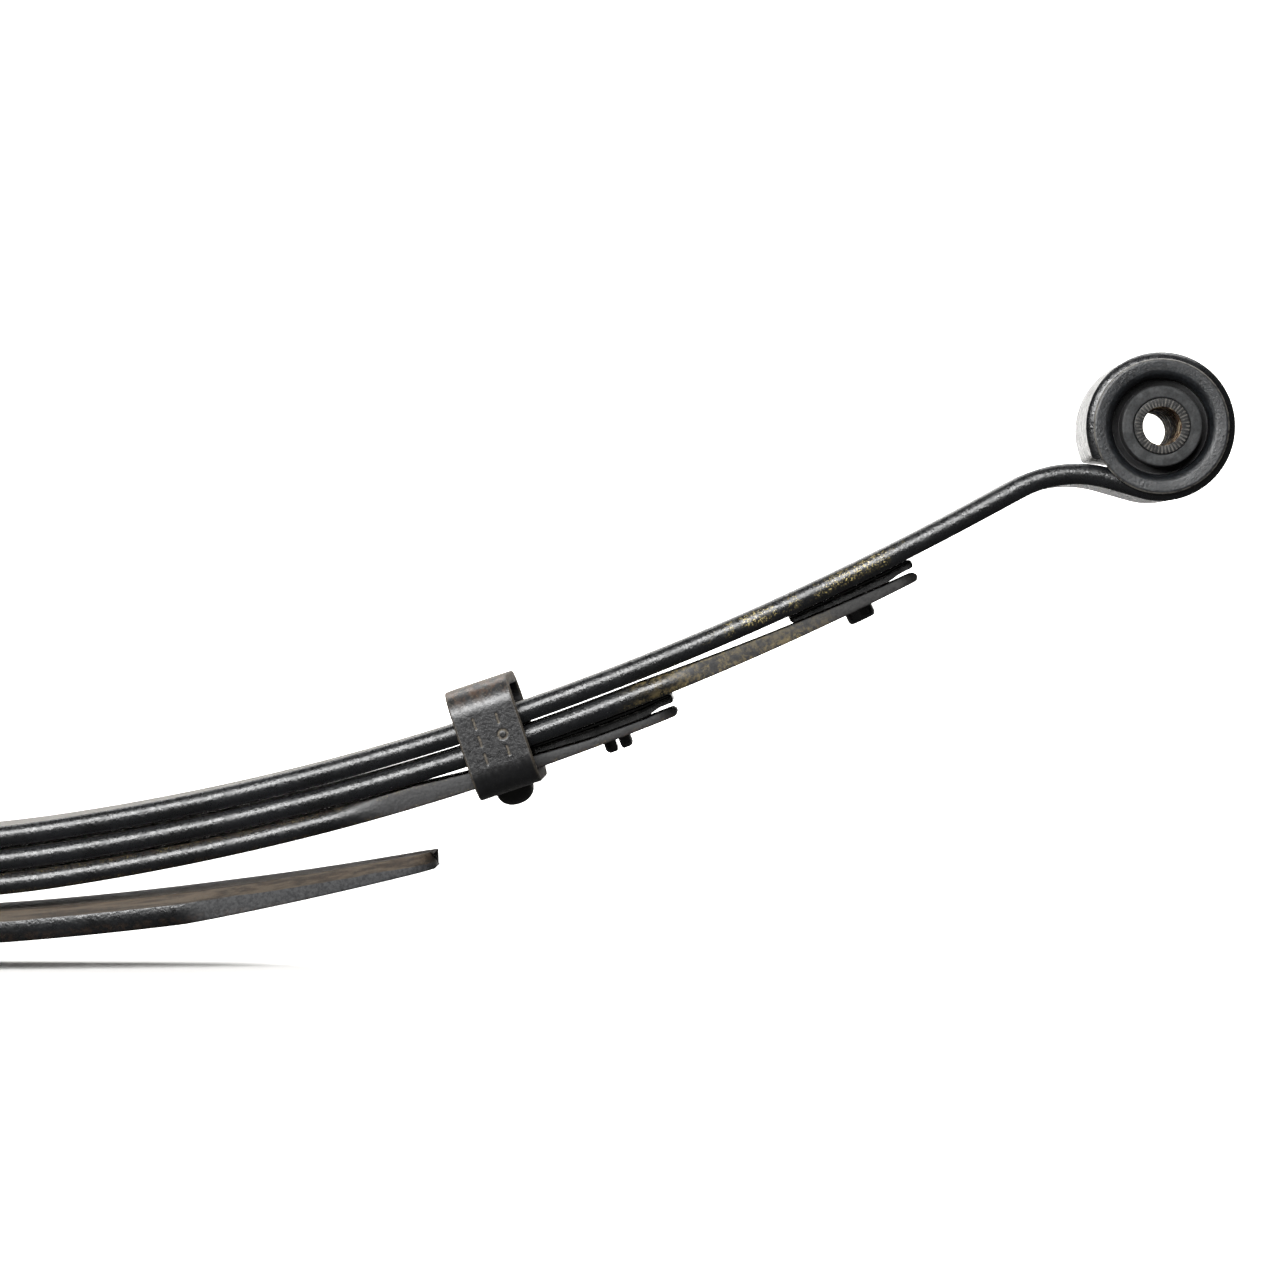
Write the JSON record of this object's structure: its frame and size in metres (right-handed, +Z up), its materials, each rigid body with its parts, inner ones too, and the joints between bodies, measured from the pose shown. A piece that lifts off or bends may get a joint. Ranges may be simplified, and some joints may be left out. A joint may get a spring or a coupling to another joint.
{
  "type": "leaf spring",
  "caption": "Multi-leaf vehicle suspension spring with upturned bushed eyes, clip bands, pads between the leaves and a flatter overload leaf.",
  "frame": {"origin": "middle of the axle seat, on the underside of the overload leaf at the centre bolt", "axes": "+X along the spring towards its front eye, +Y across its width, +Z up, away from the axle seat"},
  "size_m": [1.182, 0.073, 0.2368],
  "materials": {
    "leaf_paint": "satin",
    "clip_paint": "satin",
    "fastener_steel": "satin",
    "shell_paint": "satin",
    "bush_rubber": "matte",
    "pad_plastic": "satin",
    "sleeve_steel": "matte"
  },
  "bodies": {
    "spring_pack": {"main_leaf": "leaf_paint", "second_leaf": "leaf_paint", "third_leaf": "leaf_paint", "overload_leaf": "leaf_paint", "centre_spacer": "leaf_paint", "centre_bolt": "fastener_steel", "centre_nut": "fastener_steel"},
    "front_clip": {"front_clip_band": "clip_paint", "front_clip_rivet": "clip_paint", "front_third_leaf_pad": "pad_plastic"},
    "front_leaf_tip": {"front_second_leaf_pad": "pad_plastic"},
    "front_eye": {"front_bush_shell": "shell_paint", "front_bush_rubber": "bush_rubber"},
    "front_sleeve": {"front_bush_sleeve": "sleeve_steel"},
    "rear_clip": {"rear_clip_band": "clip_paint", "rear_clip_rivet": "clip_paint", "rear_third_leaf_pad": "pad_plastic"},
    "rear_leaf_tip": {"rear_second_leaf_pad": "pad_plastic"},
    "rear_eye": {"rear_bush_shell": "shell_paint", "rear_bush_rubber": "bush_rubber"},
    "rear_sleeve": {"rear_bush_sleeve": "sleeve_steel"}
  },
  "joints": [
    {"name": "front_flex_inner", "type": "hinge", "parent": "spring_pack", "child": "front_clip", "pos_m": [0.181, 0, 0.05285], "axis": [0, 1, 0], "range_deg": [-2, 9.5], "stiffness_Nm_per_rad": 3075, "deforming": ["main_leaf", "second_leaf", "third_leaf"]},
    {"name": "front_flex_middle", "type": "hinge", "parent": "front_clip", "child": "front_leaf_tip", "pos_m": [0.38, 0, 0.11363], "axis": [0, 1, 0], "range_deg": [-1.02, 4.84]},
    {"name": "front_flex_outer", "type": "hinge", "parent": "front_leaf_tip", "child": "front_eye", "pos_m": [0.494, 0, 0.16784], "axis": [0, 1, 0], "range_deg": [-0.7, 3.33]},
    {"name": "front_bush_twist", "type": "hinge", "parent": "front_eye", "child": "front_sleeve", "pos_m": [0.56273, 0, 0.1995], "axis": [0, 1, 0], "range_deg": [-20, 20], "stiffness_Nm_per_rad": 60},
    {"name": "rear_flex_inner", "type": "hinge", "parent": "spring_pack", "child": "rear_clip", "pos_m": [-0.181, 0, 0.05285], "axis": [0, -1, 0], "range_deg": [-2, 9.5], "stiffness_Nm_per_rad": 3075},
    {"name": "rear_flex_middle", "type": "hinge", "parent": "rear_clip", "child": "rear_leaf_tip", "pos_m": [-0.38, 0, 0.11363], "axis": [0, -1, 0], "range_deg": [-1.02, 4.84]},
    {"name": "rear_flex_outer", "type": "hinge", "parent": "rear_leaf_tip", "child": "rear_eye", "pos_m": [-0.494, 0, 0.16784], "axis": [0, -1, 0], "range_deg": [-0.7, 3.33]},
    {"name": "rear_bush_twist", "type": "hinge", "parent": "rear_eye", "child": "rear_sleeve", "pos_m": [-0.56273, 0, 0.1995], "axis": [0, -1, 0], "range_deg": [-20, 20], "stiffness_Nm_per_rad": 60}
  ],
  "couplings": [
    {"joint": "front_flex_middle", "follows": "front_flex_inner", "ratio": 0.51},
    {"joint": "front_flex_outer", "follows": "front_flex_inner", "ratio": 0.35},
    {"joint": "rear_flex_middle", "follows": "rear_flex_inner", "ratio": 0.51},
    {"joint": "rear_flex_outer", "follows": "rear_flex_inner", "ratio": 0.35}
  ]
}
